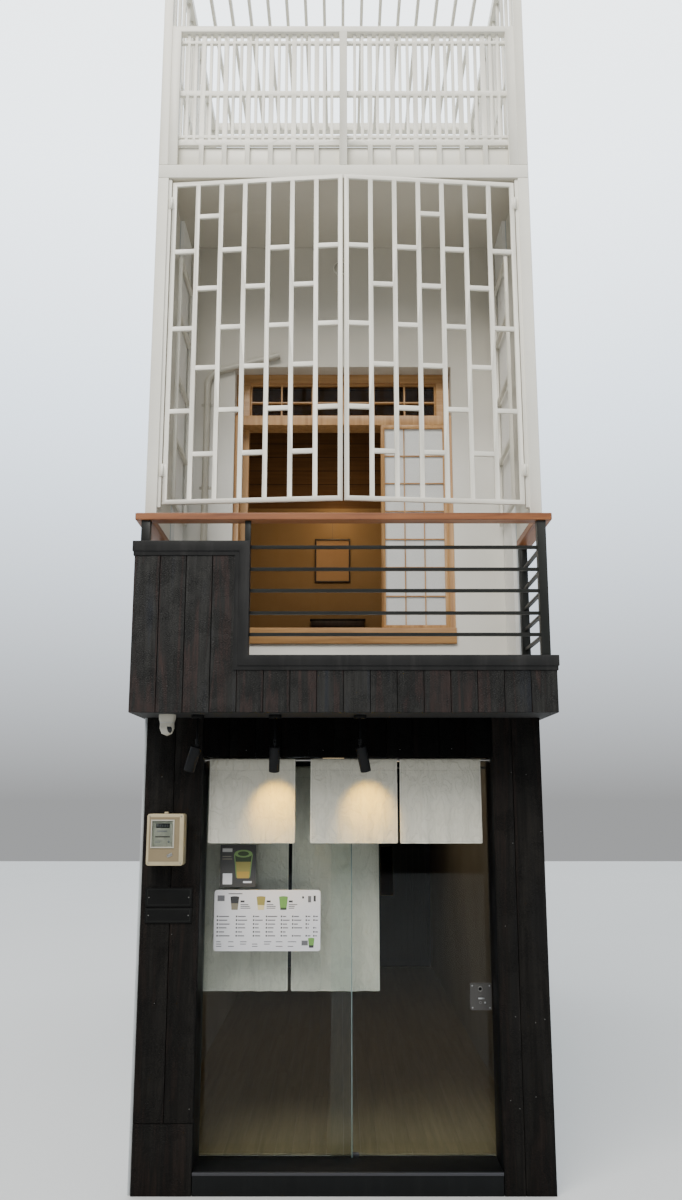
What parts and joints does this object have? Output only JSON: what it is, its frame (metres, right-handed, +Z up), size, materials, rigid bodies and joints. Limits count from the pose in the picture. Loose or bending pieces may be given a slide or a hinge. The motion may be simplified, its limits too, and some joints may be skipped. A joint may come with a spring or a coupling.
{
  "type": "townhouse",
  "caption": "Narrow terraced townhouse: dark boarded shop front with sliding glass door, stepped balcony, white grille recess and a caged roof terrace.",
  "frame": {"origin": "centre of the building's footprint box, at street level under the slab", "axes": "+Z up, -Y towards the street, +X to the right for a person facing the shop front"},
  "size_m": [2.624, 8.012, 8.68],
  "materials": {
    "charred_board": "satin, charred",
    "white_paint": "satin",
    "white_wall": "matt plaster",
    "side_wall": "matt plaster",
    "concrete": "matt",
    "dark_metal": "satin",
    "handrail_wood": "oiled",
    "frame_wood": "oiled",
    "floor_wood": "satin",
    "ochre_wall": "matt plaster",
    "shoji_paper": "matt",
    "clear_glass": "polished",
    "noren_cloth": "woven",
    "board_white": "satin",
    "cream_plastic": "satin",
    "black_plastic": "satin",
    "grey_plastic": "satin",
    "silver_metal": "brushed",
    "rail_aluminium": "satin",
    "tan_card": "matt"
  },
  "bodies": {
    "house": {"ground_slab": "concrete", "wood_floor": "floor_wood", "party_walls": "side_wall", "rear_wall": "side_wall", "back_panel": "black_plastic", "first_floor_slab": "concrete", "roof_slab": "white_wall", "shopfront_frame": "charred_board", "front_boards": "charred_board", "entrance_plinth": "charred_board", "plinth_trim": "rail_aluminium", "fixed_pane": "clear_glass", "door_track": "rail_aluminium", "noren_rods": "silver_metal", "outer_noren": "noren_cloth", "inner_noren": "noren_cloth", "window_boards": "board_white", "meter_box": "cream_plastic", "number_plaque": "black_plastic", "security_camera": "cream_plastic", "drain_pipe": "grey_plastic", "lamp_bases": "black_plastic", "balcony_panels": "charred_board", "balcony_cap": "charred_board", "balcony_railing": "dark_metal", "handrail": "handrail_wood", "side_fins": "white_wall", "left_grille": "white_paint", "right_grille": "white_paint", "folded_lattices": "white_paint", "recess_wall": "white_wall", "timber_frame": "frame_wood", "transom_sash": "frame_wood", "shoji_leaves": "frame_wood", "shoji_paper": "shoji_paper", "wall_pipe": "cream_plastic", "inner_wall": "ochre_wall", "picture": "black_plastic", "rear_window": "rail_aluminium", "window_glass": "clear_glass", "cage_frame": "white_paint", "pergola_slats": "white_paint", "front_lattice": "white_paint", "rear_lattice": "white_paint", "terrace_sheets": "white_paint", "side_screens_front": "white_paint", "side_screens_rear": "white_paint"},
    "door": {"sliding_pane": "clear_glass", "door_lock": "silver_metal", "door_hangers": "silver_metal", "door_notice": "tan_card"},
    "lamp_arm_left_body": {"lamp_arm_left": "black_plastic"},
    "lamp_head_left_body": {"lamp_head_left": "black_plastic"},
    "lamp_arm_middle_body": {"lamp_arm_middle": "black_plastic"},
    "lamp_head_middle_body": {"lamp_head_middle": "black_plastic"},
    "lamp_arm_right_body": {"lamp_arm_right": "black_plastic"},
    "lamp_head_right_body": {"lamp_head_right": "black_plastic"}
  },
  "joints": [
    {"name": "door_slide", "type": "slide", "parent": "house", "child": "door", "axis": [-1, 0, 0], "range_m": [0, 0.72]},
    {"name": "lamp_pan_left", "type": "hinge", "parent": "house", "child": "lamp_arm_left_body", "pos_m": [-0.903, -3.814, 2.78], "axis": [0, 0, 1], "range_deg": [-175, 175]},
    {"name": "lamp_tilt_left", "type": "hinge", "parent": "lamp_arm_left_body", "child": "lamp_head_left_body", "pos_m": [-0.903, -3.814, 2.625], "axis": [-0.6018, -0.7986, 0], "range_deg": [-63, 107]},
    {"name": "lamp_pan_middle", "type": "hinge", "parent": "house", "child": "lamp_arm_middle_body", "pos_m": [-0.424, -3.814, 2.78], "axis": [0, 0, 1], "range_deg": [-175, 175]},
    {"name": "lamp_tilt_middle", "type": "hinge", "parent": "lamp_arm_middle_body", "child": "lamp_head_middle_body", "pos_m": [-0.424, -3.814, 2.625], "axis": [-0.9945, -0.1045, 0], "range_deg": [-67, 103]},
    {"name": "lamp_pan_right", "type": "hinge", "parent": "house", "child": "lamp_arm_right_body", "pos_m": [0.102, -3.814, 2.78], "axis": [0, 0, 1], "range_deg": [-175, 175]},
    {"name": "lamp_tilt_right", "type": "hinge", "parent": "lamp_arm_right_body", "child": "lamp_head_right_body", "pos_m": [0.102, -3.814, 2.625], "axis": [-0.7986, 0.6018, 0], "range_deg": [-65, 105]}
  ]
}
